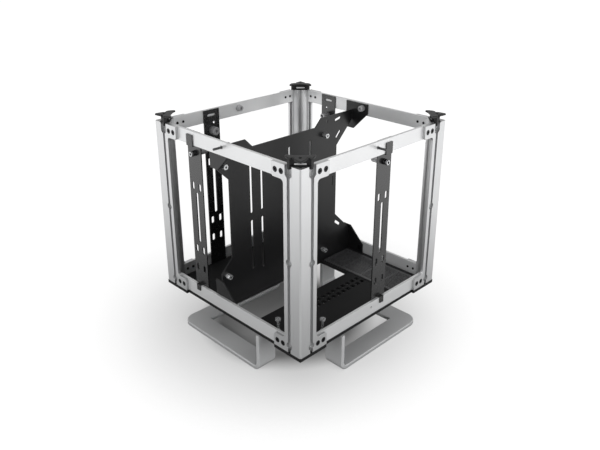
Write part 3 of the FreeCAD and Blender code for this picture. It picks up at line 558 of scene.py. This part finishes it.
def slit_light_strips():
    """Pale strips in the slits of the corner caps: painted light that stands for the bright background
    seen through the slits.
    """
    for quarter, corner in enumerate(CORNERS):
        rings = []
        for along in (STRIP_IN, STRIP_OUT):
            ring = []
            for angle in circle(STRIP_SIDES):
                end = STRIP_HALF if math.cos(angle) > 0 else -STRIP_HALF
                across = end + STRIP_R * math.cos(angle)
                z = STRIP_HEIGHT + STRIP_R * math.sin(angle)
                ring.append(at_corner(*on_diagonal(along, -across), z, quarter))
            rings.append(ring)
        verts, faces = loft(rings)
        add_piece("slit_light_strip_" + corner, verts, faces, "foot")


# lamps, in metres and watts: name, place, point that it faces, width and height, power
LAMPS = [("top_box", (-0.1, -0.1, 1.5), (0, 0, 0.1), (2.0, 2.0), 5.0),
         ("right_box", (0.05, -0.9, 0.35), (0.02, 0, 0.12), (0.7, 0.4), 4.2),
         ("left_box", (-0.9, 0.05, 0.35), (0, 0.02, 0.12), (0.7, 0.4), 3.0)]

# world: even light, and the white sweep that the camera sees and the case mirrors
WORLD_LIGHT = 0.36
SWEEP_LIGHT = 1.0
SWEEP_LOW, SWEEP_HIGH = 0.12, 0.5   # heights, as sines, between which the white sweep turns grey
OVERHEAD = 0.3

# floor, in metres
FLOOR_HALF = 12.0
FLOOR_GREY = 0.33
FLOOR_ROUGH = 0.9
FLOOR_GLOSS = 0.1
GLOW_MIDDLE, GLOW_R = (-0.016, 0.008), 0.9
# glow of the floor by nearness to the glow's middle, 1 there and 0 at GLOW_R and beyond
# seen glow: white floor far off, and painted light near the case whose rise draws the soft edge of the
# object's shadow
SEEN_GLOW = [(0.0, 0.92), (0.66, 0.84), (0.73, 0.77), (0.772, 0.7), (0.8, 0.62), (0.833, 0.53),
             (0.876, 0.44), (0.908, 0.02)]
# mirrored glow: painted reflection that only the metal sees, dark near the case and bright further out
PAINTED_MIRRORED_GLOW = [(0.0, 1.0), (0.3, 0.86), (0.55, 0.5), (0.74, 0.12), (0.82, 0.0)]
# painted shade in the reflections: share of the mirrored glow that is left near a place in front of the
# near post
DIM_MIDDLE, DIM_R = (-0.55, -0.55), 0.5
DIM_SHARE = [(0.0, 1.0), (0.5, 0.15)]


def add_area(name, place, target, size, power):
    """Rectangular soft lamp."""
    data = bpy.data.lights.new(name, "AREA")
    data.shape = "RECTANGLE"
    data.size, data.size_y = size
    data.energy = power
    lamp = bpy.data.objects.new(name, data)
    lamp.location = place
    lamp.rotation_euler = (Vector(target) - Vector(place)).to_track_quat("-Z", "Y").to_euler()
    bpy.context.scene.collection.objects.link(lamp)


def make_world():
    """Even light on the case; the camera and mirrored rays see a sweep, white low down, grey overhead."""
    world = bpy.data.worlds.new("studio")
    world.use_nodes = True
    tree = Tree(world.node_tree)
    out = tree.new("ShaderNodeOutputWorld")
    place = tree.new("ShaderNodeTexCoord")
    parts = tree.new("ShaderNodeSeparateXYZ")
    tree.link(place.outputs["Generated"], parts.inputs["Vector"])
    light = tree.new("ShaderNodeBackground", Color=(1, 1, 1, 1), Strength=WORLD_LIGHT)
    sweep = tree.new("ShaderNodeBackground", Strength=SWEEP_LIGHT)
    greying = tree.ramp(parts.outputs["Z"], [(SWEEP_LOW, 1.0), (SWEEP_HIGH, OVERHEAD)])
    tree.link(greying, sweep.inputs["Color"])
    path = tree.new("ShaderNodeLightPath")
    mirrored = tree.math("ADD", path.outputs["Is Glossy Ray"], path.outputs["Is Transmission Ray"])
    sees_sweep = tree.math("ADD", path.outputs["Is Camera Ray"], mirrored, clamp=True)
    mix = tree.new("ShaderNodeMixShader")
    tree.link(sees_sweep, mix.inputs["Fac"])
    tree.link(light.outputs[0], mix.inputs[1])
    tree.link(sweep.outputs[0], mix.inputs[2])
    tree.link(mix.outputs[0], out.inputs["Surface"])
    bpy.context.scene.world = world


def nearness(m, middle, radius):
    """1 at a point of the floor, falling to 0 at the given radius from it."""
    place = m.new("ShaderNodeMapping", Scale=(1 / radius, 1 / radius, 1 / radius),
                  Location=(-middle[0] / radius, -middle[1] / radius, 0))
    near = m.new("ShaderNodeTexGradient")
    near.gradient_type = "SPHERICAL"
    m.link(m.coord.outputs["Object"], place.inputs["Vector"])
    m.link(place.outputs["Vector"], near.inputs["Vector"])
    return near.outputs["Fac"]


def make_floor():
    """Pale floor that turns white away from the object's shadow, with painted light that draws the
    shadow's soft edge and a painted reflection for the metal.
    """
    mesh = bpy.data.meshes.new("floor")
    r = FLOOR_HALF
    mesh.from_pydata([(-r, -r, 0), (r, -r, 0), (r, r, 0), (-r, r, 0)], [], [(0, 1, 2, 3)])
    floor = bpy.data.objects.new("floor", mesh)
    bpy.context.scene.collection.objects.link(floor)
    m = Material("floor_paint", Base_Color=(FLOOR_GREY, FLOOR_GREY, FLOOR_GREY, 1),
                 Roughness=FLOOR_ROUGH, Specular_IOR_Level=FLOOR_GLOSS)
    path = m.new("ShaderNodeLightPath")
    near = nearness(m, GLOW_MIDDLE, GLOW_R)
    # painted shade: dims the painted reflection in front of the near post
    dimmed = m.ramp(nearness(m, DIM_MIDDLE, DIM_R), DIM_SHARE)
    # painted light: the glow the camera sees, which shapes the edge of the shadow
    seen = m.math("MULTIPLY", m.ramp(near, SEEN_GLOW), path.outputs["Is Camera Ray"])
    # painted reflection: glow that only mirrored rays see
    mirrored = m.math("MULTIPLY", m.ramp(near, PAINTED_MIRRORED_GLOW), path.outputs["Is Glossy Ray"])
    mirrored = m.math("MULTIPLY", dimmed, mirrored)
    glow = m.new("ShaderNodeEmission")
    m.link(m.math("ADD", seen, mirrored), glow.inputs["Strength"])
    both = m.new("ShaderNodeAddShader")
    m.link(m.shader.outputs["BSDF"], both.inputs[0])
    m.link(glow.outputs["Emission"], both.inputs[1])
    m.link(both.outputs[0], m.out.inputs["Surface"])
    mesh.materials.append(m.material)


def light_scene():
    """World, floor and lamps."""
    make_world()
    make_floor()
    for lamp in LAMPS:
        add_area(*lamp)


bpy.context.scene.view_settings.view_transform = "Standard"
place_camera()
dress_frame()
panel_screws()
bracket_knobs()
bracket_bushes()
corner_caps()
slit_light_strips()
light_scene()
